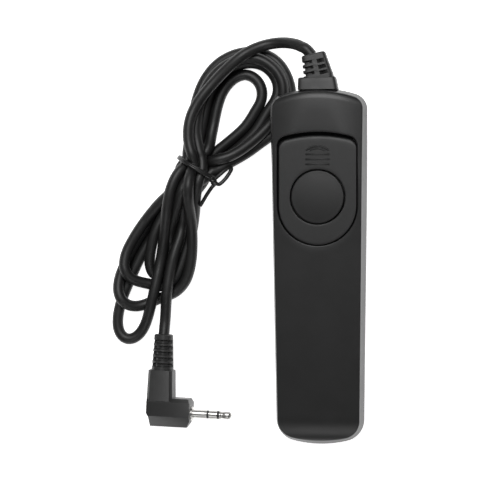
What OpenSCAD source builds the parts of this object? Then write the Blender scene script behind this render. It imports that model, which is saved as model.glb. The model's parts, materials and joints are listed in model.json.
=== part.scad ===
// Wired shutter release for a camera: a hand-held two-step switch on a thin cord.
// Millimetres. The housing lies on its back on z = 0, +Z out of the button's face,
// +Y towards the cord, and the origin under the middle of the housing.

/* [Housing] */
// Length of the housing, from its tail to the cord end
body_length = 100; // [98:0.5:102]
// Width across the cord end
head_width = 26.8; // [26:0.1:27.6]
// Width across the tail
tail_width = 24.4; // [23.6:0.1:25.2]
// Height of the hood over the slider's far end
hood_height = 16.9; // [16.7:0.1:17.4]
// Height of the front just before the tail's rounding
tail_height = 12.3; // [12:0.1:13]
// Thickness of the moulded walls
wall = 1.6; // [1.4:0.1:1.8]
// Radius of the sweep that lifts the back under the cord end
back_sweep = 96; // [90:1:110]

/* [Lock slider] */
// Width of the slider's plate
plate_width = 22.8; // [22.4:0.1:23]
// Height of the plate's face over the ground
plate_top = 14.4; // [14.3:0.05:14.5]
// Thickness of the plate
plate_thick = 1.6; // [1.4:0.1:1.6]
// How far the slider travels to lock the button
slide_travel = 4; // [3:0.25:4]
// Gap round the plate
plate_gap = 0.3; // [0.2:0.05:0.35]

/* [Button] */
// Radius of the button's cap
button_r = 7.5; // [7.4:0.1:7.9]
// Distance of the button ahead of the housing's middle
button_y = 19.7; // [19.4:0.1:20]
// How far the button goes down
press_travel = 1.6; // [1.4:0.1:1.6]

/* [Contacts] */
// Width of the contact leaves
leaf_width = 5.2; // [4.6:0.2:5.6]
// Thickness of the contact leaves
leaf_thick = 0.25; // [0.2:0.05:0.3]
// Pitch from one leaf to the next
leaf_pitch = 1.8; // [1.75:0.05:1.85]
// Height of the underside of the lowest leaf
leaf_floor = 5.4; // [5.3:0.05:5.5]

/* [Cord and plug] */
// Diameter of the cord
cord_d = 3.2; // [3:0.1:3.3]
// Diameter of the plug's pin
pin_d = 2.5; // [2.5:0.1:2.5]
// Turn of the plug on the ground, in degrees
plug_turn = -2.3; // [-6:0.1:2]

/* [Hidden] */

half = body_length / 2;
head_arc = 34.4;        // radius of the cord end's curve, seen from the front
head_corner = 4.2;      // radius of its corners
tail_arc = 31.6;
tail_corner = 6;
lift_start = 14;        // where the back begins to lift off the ground
split_tail = 6.5;       // height of the parting line at the tail and at the cord end
split_head = 11.3;
screw_ys = [-40, 39.5]; // the two case screws
screw_seats = [2.6, 6.2];
screw_shanks = [6.8, 4.4];

plate_apex = 37.4;      // far end of the plate
plate_arc = 36;
plate_corner = 2.8;
plate_low = 17.3;       // centre of the plate's round near end
pocket_floor = plate_top - plate_thick - 0.2;
ledge_thick = 1;
hood_under = plate_top + 0.5;
hood_edge = 38.4;
opening = [9.2, 10.4, 34.2]; // half width, near end and far end of the hole under the plate

flange_top = plate_top - plate_thick - 0.15;
flange_thick = 0.6;
flange_r = button_r + 0.9;

clamp_ys = [-24.5, -13.1];
contact_screw_ys = [-16, -21.5];
contact_y = 26.5;       // the silver contact points
contact_h = 0.25;
leaf_tip = 29;
focus_z = leaf_floor + leaf_pitch;
common_z = leaf_floor + 2 * leaf_pitch;
stem_end = common_z + leaf_thick + 0.15;

relief_z = 11;          // height of the cord's axis where it leaves the housing
relief_lean = 12;       // the ribbed part follows the cord to the left
relief_base = 3.8;      // length of the block outside the housing
relief_ribs = 7;        // length of the ribbed part

plug_at = [-46.6, -42.1, 0];
pin_z = 4.2;            // the plug lies on the ground, so its pin is this high
arm_end = 8.95;         // the plug's face, counted from the middle of its stem
pin_stops = [arm_end, 9.45, 13.55, 14.15, 16.55, 17.15, 20.8];
stem_top = 12.2;
boot_top = 22.5;

tie_at = [-35.7, 28.2, 5.9];
tie_turn = 58.6;        // direction of the bundle under the tie
bundle_r = 5;
tie_r = 0.42;

// The cord's routes, as points on its axis
LEAD = [
    [-2.4, 60.4, 11], [-4.6, 62.3, 11], [-8.3, 63.6, 10.4], [-12.2, 63.7, 9.4],
    [-15.7, 63.2, 8.3], [-18.4, 62.2, 7.4]
];
TAIL = [
    [-43.6, -7.6, 1.6], [-44, -11, 1.6], [-44.4, -14, 2.1], [-45, -17, 3.3],
    [-45.7, -19.6, 4.2]
];
// Outermost turn of the two lobes that the wound cord makes
UPPER_LOBE = [
    [-38, 30], [-37.7, 37.6], [-36.8, 45.3], [-34.8, 51.6], [-30.8, 57.6], [-24, 60.7],
    [-18.5, 60.6], [-15.6, 50], [-15.6, 38.6], [-21.4, 33.6], [-27.7, 29.9], [-33, 25.5]
];
LOWER_LOBE = [
    [-34.5, 26], [-36.8, 17], [-37.4, 7.6], [-38.5, 0.5], [-41.7, -5.2], [-52.5, -17.2],
    [-54.5, -20.5], [-56.9, -21.3], [-59.3, -15.3], [-58.8, -7], [-57.2, 1.6],
    [-54.5, 8.7], [-49.1, 15.5], [-43.4, 21.5], [-38.5, 29]
];
UNDER_CORNER = [[-17, 60.4], [-11.4, 57.2], [-8.8, 50.5], [-10.8, 44], [-13.6, 41.6], [-16, 41]];
WIRE_GROUND = [
    [-0.95, 44.2, 10.9], [-3.6, 42.6, 9.6], [-6.5, 39, 8], [-7.5, 34, 6.5], [-7.5, 20, 5],
    [-7.5, 0, 4.2], [-7.5, -16, 4.4], [-7.3, -22, 6], [-5, -26, 8.6], [-1.4, -27, 9.9]
];
WIRE_FOCUS = [
    [0.95, 44.2, 10.9], [3.6, 42.6, 9.6], [6.5, 39, 8], [7.5, 34, 6.5], [7.5, 20, 5],
    [7.5, 0, 4.4], [7.5, -20, 4.4], [7, -26, 5.4], [4.6, -29.6, 7.2], [1.4, -30, 8.1]
];
WIRE_RELEASE = [
    [0.1, 44.2, 9.4], [4.2, 41.6, 8], [7.6, 37.4, 6.3], [9.2, 33, 5], [9.2, 20, 3.6],
    [9.2, 0, 3.2], [9.2, -22, 3.2], [8.2, -29, 3.8], [5, -32.8, 5.2], [1.4, -33, 6.3]
];

// Points of an arc round c, from angle a to angle b
function arc(c, r, a, b, n = 10) =
    [for (i = [0:n]) let (t = a + (b - a) * i / n) c + r * [cos(t), sin(t)]];
// One end of an outline: a wide arc, then a rounded corner, out to the half width
function end_half(apex, big, small, hw, inset) =
    let (c = [0, apex - big],
         k = [hw - small, c.y + sqrt(pow(big - small, 2) - pow(hw - small, 2))],
         a = atan2(k.y - c.y, k.x))
    concat(arc(c, big - inset, 90, a), arc(k, small - inset, a, 0, 6));
function flip_y(pts) = [for (i = [len(pts) - 1:-1:0]) [pts[i].x, -pts[i].y]];
function flip_x(pts) = [for (i = [len(pts) - 1:-1:0]) [-pts[i].x, pts[i].y]];
// Drops a point that repeats the one before it
function distinct(pts) =
    [for (i = [0:len(pts) - 1]) if (norm(pts[i] - pts[(i + 1) % len(pts)]) > 0.01) pts[i]];
function both_sides(right) = distinct(concat(right, flip_x(right)));

function body_outline(inset) = both_sides(concat(
    end_half(half, head_arc, head_corner, head_width / 2, inset),
    flip_y(end_half(half, tail_arc, tail_corner, tail_width / 2, inset))));
function plate_outline(apex, grow) = both_sides(concat(
    end_half(apex, plate_arc, plate_corner, plate_width / 2, -grow),
    arc([0, plate_low], plate_width / 2 + grow, 0, -90, 14)));

// Height of the back's underside over the ground
function lift(y) = y <= lift_start ? 0
    : back_sweep - sqrt(pow(back_sweep, 2) - pow(y - lift_start, 2));
function split(y) = split_tail + (split_head - split_tail) * (y + half) / body_length;
lift_ys = [for (i = [0:10]) lift_start + (half - 2.2 - lift_start) * i / 10];

// Side views, as [y, z] points: the whole body, and the space inside it
BODY_SIDE = concat(
    [[-half, 4.2], [-half + 0.9, 2.1], [-half + 2.6, 0.7], [-half + 5, 0]],
    [for (y = lift_ys) [y, lift(y)]],
    [[half - 0.8, lift(half) + 0.5], [half, lift(half) + 2], [half, 14.9], [half - 1.4, hood_height - 0.6],
     [half - 4.5, hood_height], [hood_edge, hood_height - 0.3], [6, plate_top],
     [-half + 8, tail_height], [-half + 4.5, tail_height - 0.4], [-half + 2, tail_height - 1.4],
     [-half + 0.6, tail_height - 3], [-half, tail_height - 4.6]]);
ROOM_SIDE = concat(
    [[-half + wall, 4.6], [-half + 4.6, wall]],
    [for (y = lift_ys) [y, lift(y) + wall]],
    [[half - wall, lift(half) + wall + 0.4], [half - wall, hood_height - wall - 0.5],
     [43.6, hood_height - wall - 0.3], [43.6, pocket_floor - ledge_thick], [3.8, pocket_floor - ledge_thick],
     [-half + 8, tail_height - wall], [-half + 4, tail_height - wall - 1], [-half + wall, tail_height - wall - 3]]);

// A side view carried across the width
module across(profile) {
    rotate([90, 0, 90]) linear_extrude(40, center = true) polygon(profile);
}

// The front view's section: round edges at the back, a crowned hood
module section(inset) {
    w = head_width / 2 - inset;
    edge = 3.2 - inset / 2;
    right = concat(
        arc([0, hood_height - 60], 60 - inset, 90, 80.6, 4),
        [[w - 0.5, hood_height - 1.9 - inset], [w, hood_height - 2.8 - inset]],
        arc([w - edge, edge + inset], edge, 0, -90, 6));
    rotate([90, 0, 0]) linear_extrude(120, center = true) polygon(both_sides(right));
}

module body_solid() {
    intersection() {
        linear_extrude(20) polygon(body_outline(0));
        across(BODY_SIDE);
        section(0);
    }
}

module room() {
    intersection() {
        linear_extrude(20) polygon(body_outline(wall));
        across(ROOM_SIDE);
        section(wall);
    }
}

// Everything over the parting line, or under it with up = -1
module half_space(up) {
    across([[-60, split(-60)], [60, split(60)], [60, split(60) + up * 30], [-60, split(-60) + up * 30]]);
}

module box(x, y, z) {
    translate([x[0], y[0], z[0]]) cube([x[1] - x[0], y[1] - y[0], z[1] - z[0]]);
}

module relief_doorway() {
    box([-4.9, 4.9], [half - 4, half + 1], [relief_z - 2.1, relief_z + 2.1]);
}

// The tongue that the pressed button's ear slides under when the slider locks it
module latch() {
    top = flange_top - flange_thick - 0.25;
    box([-2.4, 2.4], [button_y + button_r + slide_travel + 0.4, 36], [top - 0.55, top]);
}

module front_shell() {
    boss_r = 2.8;
    color("#232326") difference() {
        union() {
            intersection() {
                difference() {
                    body_solid();
                    room();
                }
                half_space(1);
            }
            for (i = [0, 1])
                translate([0, screw_ys[i], screw_seats[i] + 2.7])
                    cylinder(r = boss_r, h = (i == 0 ? 10.95 : pocket_floor - 0.5) - screw_seats[i] - 2.7, $fn = 48);
            latch();
        }
        // pocket for the plate, open in front of the hood's edge and closed over beyond it
        translate([0, 0, pocket_floor])
            linear_extrude(20) polygon(plate_outline(hood_edge, plate_gap));
        translate([0, 0, pocket_floor])
            linear_extrude(hood_under - pocket_floor)
                polygon(plate_outline(plate_apex + slide_travel + 0.4, plate_gap));
        difference() {
            box([-opening[0], opening[0]], [opening[1], opening[2]], [10, pocket_floor + 1]);
            latch();
        }
        for (i = [0, 1])
            translate([0, screw_ys[i], 0]) cylinder(r = 0.85, h = screw_seats[i] + screw_shanks[i] + 0.3, $fn = 32);
        relief_doorway();
    }
}

module back_shell() {
    boss_r = 3.4;
    color("#1f1f22") difference() {
        union() {
            intersection() {
                difference() {
                    body_solid();
                    room();
                }
                half_space(-1);
            }
            intersection() {
                for (i = [0, 1])
                    translate([0, screw_ys[i], 0]) cylinder(r = boss_r, h = screw_seats[i] + 2.6, $fn = 48);
                body_solid();
            }
        }
        for (i = [0, 1]) translate([0, screw_ys[i], -1]) {
            cylinder(r = 2.15, h = screw_seats[i] + 1, $fn = 48);
            cylinder(r = 1.2, h = screw_seats[i] + 5, $fn = 32);
        }
        relief_doorway();
    }
}

// A pan-head screw pointing up: its head under z = 0, its shank over it, with a cross slot
module screw(head_r, head_h, shank_r, shank_h) {
    difference() {
        union() {
            translate([0, 0, -head_h]) cylinder(r = head_r, h = head_h, $fn = 48);
            cylinder(r = shank_r, h = shank_h, $fn = 32);
        }
        for (a = [0, 90]) rotate([0, 0, a])
            box([-head_r * 0.6, head_r * 0.6], [-0.22, 0.22], [-head_h - 1, -head_h + 0.5]);
    }
}

module case_screws() {
    color("silver") for (i = [0, 1])
        translate([0, screw_ys[i], screw_seats[i]]) screw(1.9, 1.3, 1, screw_shanks[i]);
}

// A hook of the slider: it hangs through the opening and grips under the ledge
module hook(y) {
    low = pocket_floor - ledge_thick - 0.85;
    box([8.2, 8.95], [y, y + 2.4], [low, plate_top - plate_thick + 0.1]);
    box([8.2, 10.1], [y, y + 2.4], [low, low + 0.6]);
}

module arrow_mark() {
    bars = [28.9, 30.3, 31.7];
    translate([0, 0, plate_top - 0.1]) linear_extrude(0.35) {
        for (y = bars) translate([-3.4, y - 0.25]) square([6.8, 0.5]);
        polygon([[-3.4, 32.5], [3.4, 32.5], [0, 34.1]]);
    }
}

module lock_slider() {
    color("#2b2b2e") {
        difference() {
            translate([0, 0, plate_top - plate_thick])
                linear_extrude(plate_thick) polygon(plate_outline(plate_apex, 0));
            translate([0, button_y, 0]) cylinder(r = button_r + 0.3, h = 30, $fn = 96);
        }
        for (s = [0, 1], y = [12, 25]) mirror([s, 0, 0]) hook(y);
        arrow_mark();
    }
}

module shutter_button() {
    rim = plate_top + 0.1;
    dome = 0.5;
    dome_r = (button_r * button_r + dome * dome) / (2 * dome);
    crown = arc([0, rim + dome - dome_r], dome_r, 90, 90 - asin((button_r - 0.4) / dome_r), 8);
    color("#2d2d31") translate([0, button_y, 0]) {
        rotate_extrude($fn = 96) polygon(concat(
            crown,
            [[button_r, rim - 0.3], [button_r, flange_top], [flange_r, flange_top],
             [flange_r, flange_top - flange_thick], [1.5, flange_top - flange_thick],
             [1.5, stem_end + 0.7], [0.7, stem_end], [0, stem_end]]));
        box([-2.6, 2.6], [button_r - 1, flange_r + 1.3], [flange_top - flange_thick, flange_top]);
    }
}

// Clearance holes for the two screws that hold the contact stack
module stack_holes(r) {
    for (y = contact_screw_ys) translate([0, y, 0]) cylinder(r = r, h = 30, $fn = 32);
}

module contact_block() {
    color("#e4dfd0") difference() {
        box([-5, 5], [clamp_ys[0] - 1, clamp_ys[1]], [wall + 0.05, leaf_floor]);
        difference() {
            stack_holes(0.75);
            box([-6, 6], [-30, 0], [0, 2.4]);
        }
    }
}

module leaf_spacers() {
    color("#d8d2c0") for (z = [leaf_floor, focus_z]) difference() {
        box([-4, 4], clamp_ys, [z + leaf_thick, z + leaf_pitch]);
        stack_holes(1.05);
    }
}

module clamp_plate() {
    color("#c8ccd0") difference() {
        box([-4, 4], clamp_ys, [common_z + leaf_thick, common_z + leaf_thick + 0.75]);
        stack_holes(1.05);
    }
}

module contact_screws() {
    color("silver") for (y = contact_screw_ys)
        translate([0, y, common_z + leaf_thick + 0.75]) mirror([0, 0, 1]) screw(1.7, 0.8, 0.9, 7);
}

module contact_point(z) {
    translate([0, contact_y, z]) cylinder(r = 0.9, h = contact_h, $fn = 32);
}

// The sprung length of a leaf, from the clamp's edge to its tip
module leaf_blade(z) {
    w = leaf_width / 2;
    box([-w, w], [clamp_ys[1] + 0.2, leaf_tip], [z, z + leaf_thick]);
}

// The clamped root of a leaf, with the tab that its wire is soldered to
module leaf_tab(z, end) {
    w = leaf_width / 2;
    difference() {
        union() {
            box([-w, w], clamp_ys, [z, z + leaf_thick]);
            box([-1.4, 1.4], [end, clamp_ys[0] + 0.5], [z, z + leaf_thick]);
        }
        stack_holes(1.05);
    }
}

module common_leaf() {
    color("#c9a24a") {
        leaf_blade(common_z);
        contact_point(common_z - contact_h);
    }
}

module common_tab() {
    color("#c9a24a") leaf_tab(common_z, -28.2);
}

module focus_leaf() {
    color("#c9a24a") {
        leaf_blade(focus_z);
        contact_point(focus_z + leaf_thick);
        contact_point(focus_z - contact_h);
    }
}

module focus_tab() {
    color("#c9a24a") leaf_tab(focus_z, -31.2);
}

module release_leaf() {
    w = leaf_width / 2;
    color("#c9a24a") {
        leaf_tab(leaf_floor, -34.2);
        box([-w, w], [clamp_ys[1] - 0.1, leaf_tip], [leaf_floor, leaf_floor + leaf_thick]);
        contact_point(leaf_floor + leaf_thick);
    }
}

function unit(v) = v / norm(v);
// Ring of n points round a route's point i, square to the way that the route goes there
function ring(route, i, r, n) =
    let (last = len(route) - 1,
         way = unit(route[min(i + 1, last)] - route[max(i - 1, 0)]),
         side = unit(cross(way, [0, 0, 1])),
         up = cross(side, way))
    [for (k = [0:n - 1]) let (a = 360 * (k + 0.5) / n) route[i] + r * (cos(a) * side + sin(a) * up)];

// A tube along a route, with n flat sides
module tube(route, r, n = 8) {
    m = len(route);
    polyhedron(
        points = [for (i = [0:m - 1]) each ring(route, i, r, n)],
        faces = concat(
            [[for (k = [0:n - 1]) k]],
            [for (i = [0:m - 2], k = [0:n - 1])
                [i * n + k, (i + 1) * n + k, (i + 1) * n + (k + 1) % n, i * n + (k + 1) % n]],
            [[for (k = [n - 1:-1:0]) (m - 1) * n + k]]));
}

module wire_ground() {
    color("#c8b27a") tube(WIRE_GROUND, 0.55);
}

module wire_focus() {
    color("#c23b30") tube(WIRE_FOCUS, 0.55);
}

module wire_release() {
    color("#ece8e0") tube(WIRE_RELEASE, 0.55);
}

module solder_joints() {
    spots = [[-27, common_z], [-30, focus_z], [-33, leaf_floor]];
    color("#b8bcc0") for (s = spots) translate([0, s[0], s[1] + leaf_thick]) intersection() {
        sphere(r = 1.1, $fn = 32);
        translate([0, 0, 2]) cube(4, center = true);
    }
}

module cord_inner_end() {
    color("#1a1a1c") translate([0, 44, relief_z]) rotate([-90, 0, 0]) cylinder(d = cord_d, h = 2.2, $fn = 32);
}

// A box with rounded long edges that narrows from one end to the other, along +Y
module taper(w0, t0, w1, t1, y0, y1, edge) {
    hull() for (e = [[w0, t0, y0], [w1, t1, y1 - 0.01]], sx = [-1, 1], sz = [-1, 1])
        translate([sx * (e[0] / 2 - edge), e[2], sz * (e[1] / 2 - edge)])
            rotate([-90, 0, 0]) cylinder(r = edge, h = 0.01, $fn = 16);
}

module strain_relief() {
    color("#202023") translate([0, 0, relief_z]) {
        box([-6.4, 6.4], [half - 3.8, half - 2.3], [-2.7, 3.2]);
        box([-4.8, 4.8], [half - 2.4, half + 0.2], [-2, 2]);
        taper(11.9, 5.8, 10.5, 5.2, half + 0.05, half + relief_base, 0.8);
        translate([0, half + relief_base - 0.1, 0]) rotate([0, 0, relief_lean]) {
            difference() {
                taper(8, 5.2, 6.8, 4.8, 0, relief_ribs, 0.6);
                for (s = [-1, 1], i = [0, 1, 2])
                    translate([s * 3, 1.2 + 1.75 * i + (s > 0 ? 0.4 : 0), 0]) cube([4.1, 0.8, 8], center = true);
            }
            rotate([-90, 0, 0]) cylinder(r = 1.9, h = relief_ribs, $fn = 32);
        }
    }
}

module cord_lead() {
    color("#17171a") tube(LEAD, cord_d / 2);
}

module cord_tail() {
    color("#17171a") tube(TAIL, cord_d / 2);
}

// The round-edged slab that a lobe of the wound cord fills
module lobe(outline, h) {
    hull() for (p = outline) translate(p) cylinder(d = cord_d, h = h, $fn = 16);
}

module cord_hank() {
    color("#1b1b1e") union() {
        lobe(UPPER_LOBE, 7.2);
        lobe(LOWER_LOBE, 6.2);
        lobe(UNDER_CORNER, 3);
        translate(tie_at) rotate([0, 0, tie_turn]) rotate([0, 90, 0])
            cylinder(r = bundle_r, h = 12, center = true, $fn = 48);
    }
}

module twist_tie() {
    ring_r = bundle_r + tie_r - 0.02;
    color("#101012") translate([tie_at.x, tie_at.y, 0]) rotate([0, 0, tie_turn]) {
        translate([0, 0, tie_at.z]) rotate([0, 90, 0]) rotate_extrude($fn = 64)
            translate([ring_r, 0]) circle(r = tie_r, $fn = 24);
        for (s = [-1, 1]) translate([s * 1.1, -1.2, 11.6]) rotate([115, 0, s * 28])
            cylinder(r = tie_r * 1.1, h = 6.5, $fn = 24);
    }
}

// The plug's own frame: its pin along +X from the stem's middle, its boot towards +Y
module on_plug() {
    translate(plug_at) rotate([0, 0, plug_turn]) children();
}

// A turned piece on the pin's axis, from a profile of [along, radius] points
module turned(profile) {
    translate([0, 0, pin_z]) rotate([0, 90, 0]) rotate([0, 0, 90])
        rotate_extrude($fn = 64) polygon([for (p = profile) [p[1], p[0]]]);
}

// A plain tube on the pin's axis
module pin_tube(from, to, r, bore) {
    turned([[from, bore], [to, bore], [to, r], [from, r]]);
}

module plug_housing() {
    section_pts = [[-4.1, 3.2], [-4.1, 5.2], [-0.9, 8.4], [3.2, 8.4], [4.3, 7.2], [4.3, 1.2], [3.2, 0], [-0.9, 0]];
    color("#2c2c2f") on_plug() difference() {
        union() {
            intersection() {
                translate([-3.6, 0, 0]) rotate([90, 0, 90]) linear_extrude(arm_end + 3.6) polygon(section_pts);
                linear_extrude(10) polygon([
                    [-4, 6], [-4, 0.6], [-3, -1.2], [-2.8, -5], [arm_end - 1.6, -5],
                    [arm_end, -2.2], [arm_end, 3], [arm_end - 0.9, 5]]);
            }
            hull() {
                translate([0, 2, pin_z]) cube([7.6, 0.02, 6], center = true);
                translate([0, 2, pin_z]) cube([6, 0.02, 8], center = true);
                translate([-0.1, stem_top - 0.01, pin_z]) cube([7, 0.02, 5.4], center = true);
                translate([-0.1, stem_top - 0.01, pin_z]) cube([5.4, 0.02, 7.2], center = true);
            }
        }
        pin_room();
    }
}

// The space in the housing for the sleeve's anchor and the centre rod
module pin_room() {
    translate([3.9, 0, pin_z]) rotate([0, 90, 0]) cylinder(r = 1.7, h = arm_end - 3.8, $fn = 48);
    translate([0.9, 0, pin_z]) rotate([0, 90, 0]) cylinder(r = 0.6, h = 4, $fn = 32);
}

module plug_boot() {
    pitch = 1.66;
    grooves = 6;
    length = boot_top - stem_top;
    function boot_r(y) = 3.25 - 0.45 * y / length;
    steps = [for (i = [grooves - 1:-1:0]) let (y = 0.3 + pitch * i) each [
        [boot_r(y + 0.8), y + 0.8], [boot_r(y + 0.8) - 0.55, y + 0.7],
        [boot_r(y) - 0.55, y + 0.1], [boot_r(y), y]]];
    color("#1d1d20") on_plug() translate([0.05, stem_top, pin_z]) rotate([-90, 0, 0]) {
        rotate_extrude($fn = 64)
            polygon(concat([[0, 0], [0, length], [2.6, length], [boot_r(length), length - 0.2]], steps, [[3.25, 0]]));
        for (s = [-1, 1]) translate([s * 2.5, 0, length / 2]) cube([0.8, 1.4, length - 0.6], center = true);
    }
}

module plug_collar() {
    color("silver") on_plug() pin_tube(pin_stops[0], pin_stops[1], 2.05, pin_d / 2);
}

module plug_sleeve() {
    r = pin_d / 2;
    neck = r - 0.2;
    color("silver") on_plug() turned([
        [4, 0.5], [pin_stops[2], 0.5], [pin_stops[2], r], [pin_stops[1], r], [pin_stops[1], neck],
        [pin_stops[0] - 0.1, neck], [pin_stops[0] - 0.1, 1.65], [4, 1.65]]);
}

module plug_ring() {
    color("silver") on_plug() pin_tube(pin_stops[3], pin_stops[4], pin_d / 2, 0.5);
}

module plug_insulators() {
    color("#151515") on_plug() {
        pin_tube(pin_stops[2], pin_stops[3], pin_d / 2, 0.5);
        pin_tube(pin_stops[4], pin_stops[5], pin_d / 2, 0.5);
    }
}

// The tip: a shoulder, a neck for the camera's catch, a rounded nose, and the rod behind it
module plug_tip() {
    r = pin_d / 2;
    s = pin_stops[5];
    e = pin_stops[6];
    nose = [for (p = arc([e - 0.9, 0], 0.9, 0, 70, 8)) p];
    color("silver") on_plug() turned(concat(
        [[1.2, 0], [e, 0]], [for (i = [1:8]) nose[i]],
        [[e - 1.6, r - 0.05], [s + 1.4, 0.85], [s + 1, 0.85], [s + 0.5, r], [s, r], [s, 0.45], [1.2, 0.45]]));
}

front_shell();
back_shell();
case_screws();
lock_slider();
shutter_button();
contact_block();
leaf_spacers();
clamp_plate();
contact_screws();
common_leaf();
common_tab();
focus_leaf();
focus_tab();
release_leaf();
wire_ground();
wire_focus();
wire_release();
solder_joints();
cord_inner_end();
strain_relief();
cord_lead();
cord_hank();
cord_tail();
twist_tie();
plug_boot();
plug_housing();
plug_collar();
plug_sleeve();
plug_ring();
plug_tip();
plug_insulators();
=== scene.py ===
# %% [markdown]
# A wired shutter release, built round its CAD frame. The real thing is a hand-held switch: a black
# moulded housing with a sliding lock and a round button, a thin cord wound into a hank and tied, and
# an angled 2.5 mm plug. The CAD frame gives every size and place. This script loads it, and then
# gives each piece its finished surface and its material, one piece after the other.

# %% Load the frame
import json

import bmesh
import bpy
import numpy as np
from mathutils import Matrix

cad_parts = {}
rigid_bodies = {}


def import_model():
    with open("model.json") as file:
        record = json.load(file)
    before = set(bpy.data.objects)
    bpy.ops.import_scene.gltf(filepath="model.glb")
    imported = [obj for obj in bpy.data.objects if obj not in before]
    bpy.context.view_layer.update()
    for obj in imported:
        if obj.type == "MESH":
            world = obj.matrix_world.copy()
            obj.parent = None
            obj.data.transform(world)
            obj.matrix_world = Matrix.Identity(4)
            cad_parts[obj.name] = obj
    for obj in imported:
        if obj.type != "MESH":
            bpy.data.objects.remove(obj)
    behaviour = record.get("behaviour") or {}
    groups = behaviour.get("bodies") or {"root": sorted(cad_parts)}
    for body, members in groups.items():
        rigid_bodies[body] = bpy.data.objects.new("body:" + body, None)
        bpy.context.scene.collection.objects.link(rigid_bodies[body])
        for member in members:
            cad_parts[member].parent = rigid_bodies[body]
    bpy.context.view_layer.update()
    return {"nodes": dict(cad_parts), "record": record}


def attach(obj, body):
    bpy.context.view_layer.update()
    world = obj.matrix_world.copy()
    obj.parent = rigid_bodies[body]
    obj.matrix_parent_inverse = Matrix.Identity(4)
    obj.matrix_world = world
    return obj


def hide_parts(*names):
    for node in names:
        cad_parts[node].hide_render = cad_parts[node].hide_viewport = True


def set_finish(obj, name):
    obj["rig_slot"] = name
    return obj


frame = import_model()
MM = 0.001


# %% [markdown]
# The camera. The housing lies on its back and is seen from straight above its button, with the
# camera a few degrees to the right, so that a thin strip of the right wall shows. A long lens keeps
# the sides of the housing nearly parallel, as a product shot does.

# %% Camera
VIEW_LEAN = np.radians(8.3)
VIEW_CENTRE = np.array([-22.9, 7.6, 8.0])
VIEW_DISTANCE = 571

lens = bpy.data.cameras.new("camera")
lens.lens, lens.sensor_width = 150, 36
lens.clip_start, lens.clip_end = 0.05, 5
camera = bpy.data.objects.new("camera", lens)
bpy.context.scene.collection.objects.link(camera)
camera.location = MM * (VIEW_CENTRE + VIEW_DISTANCE * np.array([np.sin(VIEW_LEAN), 0, np.cos(VIEW_LEAN)]))
camera.rotation_euler = (0, VIEW_LEAN, 0)
bpy.context.scene.camera = camera
print("camera at", [round(v, 3) for v in camera.location])


# %% [markdown]
# The cord's route. The real cord is 3 mm thick and about 85 cm long. It leaves the strain relief,
# falls into the tie, and makes eight runs between the upper and the lower end of a loose hank before
# it reaches the plug. Each run is given as a short list of round points, in millimetres, on
# the cord's axis. A smooth curve is drawn through them and cut into equal steps.

# %% Points of each run, from the strain relief to the plug
LEAD = [(-2, 59.8, 11), (-3.5, 61.5, 11), (-6, 63, 11), (-9.5, 64, 10.5), (-13, 64, 10), (-16.5, 63.3, 9),
        (-19.5, 62, 8), (-22, 60.5, 7.5), (-24.5, 58.5, 7.5), (-27.5, 56, 7.5), (-30, 53.5, 7.5),
        (-32.5, 50.5, 7.5), (-34.5, 48, 7.5), (-36.5, 45.5, 7.5), (-37.5, 42.5, 7.5), (-38, 39, 8),
        (-38.5, 35.5, 8.5), (-38.5, 32, 9)]
OUTER_DROP = [(-38, 27, 9), (-38, 23.5, 8), (-38, 19, 7), (-37.5, 15.5, 5.5), (-37, 11.5, 5),
              (-37.5, 7.5, 4.5), (-37.5, 4, 4.5), (-38.5, 0.5, 4), (-39.5, -2.5, 3), (-41.5, -5.5, 2),
              (-44, -7, 1.5), (-47, -8.5, 1.5), (-50, -10, 1.5), (-52, -11.5, 1.5), (-54.5, -12, 1.5),
              (-56.5, -11.5, 1.5), (-58.5, -9.5, 1.5), (-59, -7, 2.5), (-58.5, -4, 3.5), (-58, -1.5, 4),
              (-56.5, 2, 3), (-55, 5.5, 1.5), (-53, 8.5, 1.5), (-50.5, 12, 1.5), (-48, 15, 1.5),
              (-45, 18, 2), (-43, 20.5, 3), (-40.5, 24, 3.5), (-38.5, 27, 3.5)]
UPPER_LOOP = [(-30, 28, 3.5), (-26.5, 30.5, 3.5), (-24, 32.5, 3.5), (-21.5, 34.5, 4), (-19, 36.5, 4.5),
              (-17, 38.5, 4.5), (-14.5, 41, 4.5), (-12.5, 44.5, 4.5), (-10.5, 49.5, 4.5), (-11, 52.5, 5),
              (-13, 56, 5.5), (-15.5, 58, 6), (-19, 60, 6), (-23, 59.5, 5.5), (-26.5, 58, 5),
              (-30, 56, 4.5), (-32.5, 52.5, 4.5), (-34.5, 48.5, 5), (-35.5, 44, 5.5), (-36.5, 39, 6)]
SECOND_DROP = [(-35.5, 27.5, 6.5), (-35.5, 23.5, 5.5), (-36, 19.5, 4.5), (-36.5, 16, 3), (-37.5, 12.5, 1.5),
               (-38.5, 9, 1.5), (-39.5, 4.5, 1.5), (-40.5, 1.5, 1.5), (-41.5, -2, 1.5), (-43, -4.5, 1.5),
               (-45.5, -5.5, 2), (-47.5, -4.5, 3.5), (-50, -3.5, 4.5), (-52, -4, 5), (-54.5, -4, 5.5),
               (-56.5, -3, 6), (-57, -1, 6), (-57, 1.5, 6), (-56, 5, 6), (-54, 8.5, 6), (-51.5, 12.5, 5.5),
               (-49, 15.5, 4.5), (-46, 18, 4), (-43.5, 21, 3.5)]
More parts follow.
